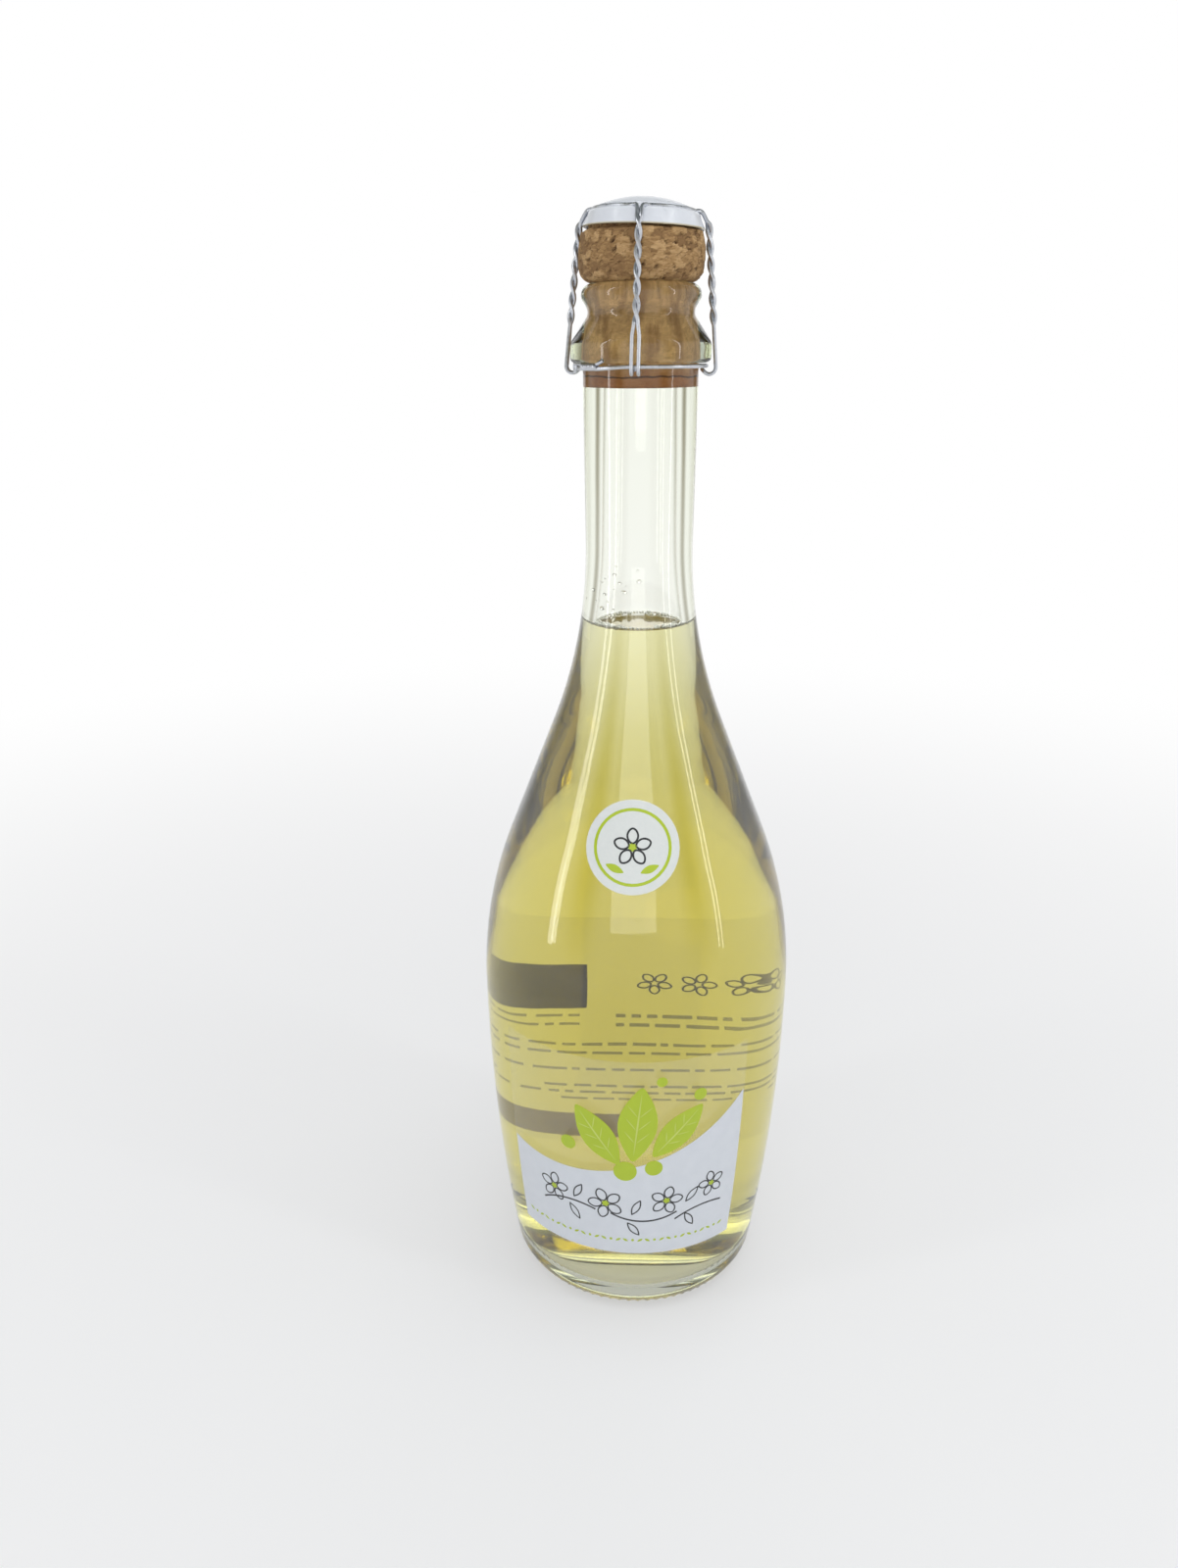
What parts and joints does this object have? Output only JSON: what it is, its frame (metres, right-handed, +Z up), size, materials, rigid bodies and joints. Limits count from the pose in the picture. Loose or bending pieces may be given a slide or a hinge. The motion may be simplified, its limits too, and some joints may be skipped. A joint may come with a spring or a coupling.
{
  "type": "sparkling cocktail bottle",
  "caption": "Clear glass bottle of pale yellow-green sparkling cocktail, with a mushroom cork held by a white cap and wire cage, wrapped labels and a round seal.",
  "frame": {"origin": "centre of the bottle's base, on the surface it stands on", "axes": "+Z up the bottle's axis to the cap; -Y out of the front label"},
  "size_m": [0.09, 0.0902, 0.3063],
  "materials": {
    "clear_glass": "clear flint glass, fire polished",
    "drink": "clear pale yellow-green liquid",
    "cork": "agglomerated cork granules, matt",
    "white_tinplate": "white gloss lacquer on tinplate",
    "steel_wire": "drawn galvanised steel wire",
    "printed_film": "clear film printed white and lime green",
    "clear_film": "clear film with dark print",
    "seal_paper": "white coated paper"
  },
  "bodies": {
    "root": {"bottle_glass": "clear_glass", "drink": "drink", "cork": "cork", "cap_plate": "white_tinplate", "cage_ring": "steel_wire", "cage_belt": "steel_wire", "cage_leg_front": "steel_wire", "cage_leg_right": "steel_wire", "cage_leg_back": "steel_wire", "cage_leg_left": "steel_wire", "front_label": "printed_film", "back_label": "clear_film", "neck_seal": "seal_paper"}
  },
  "joints": []
}
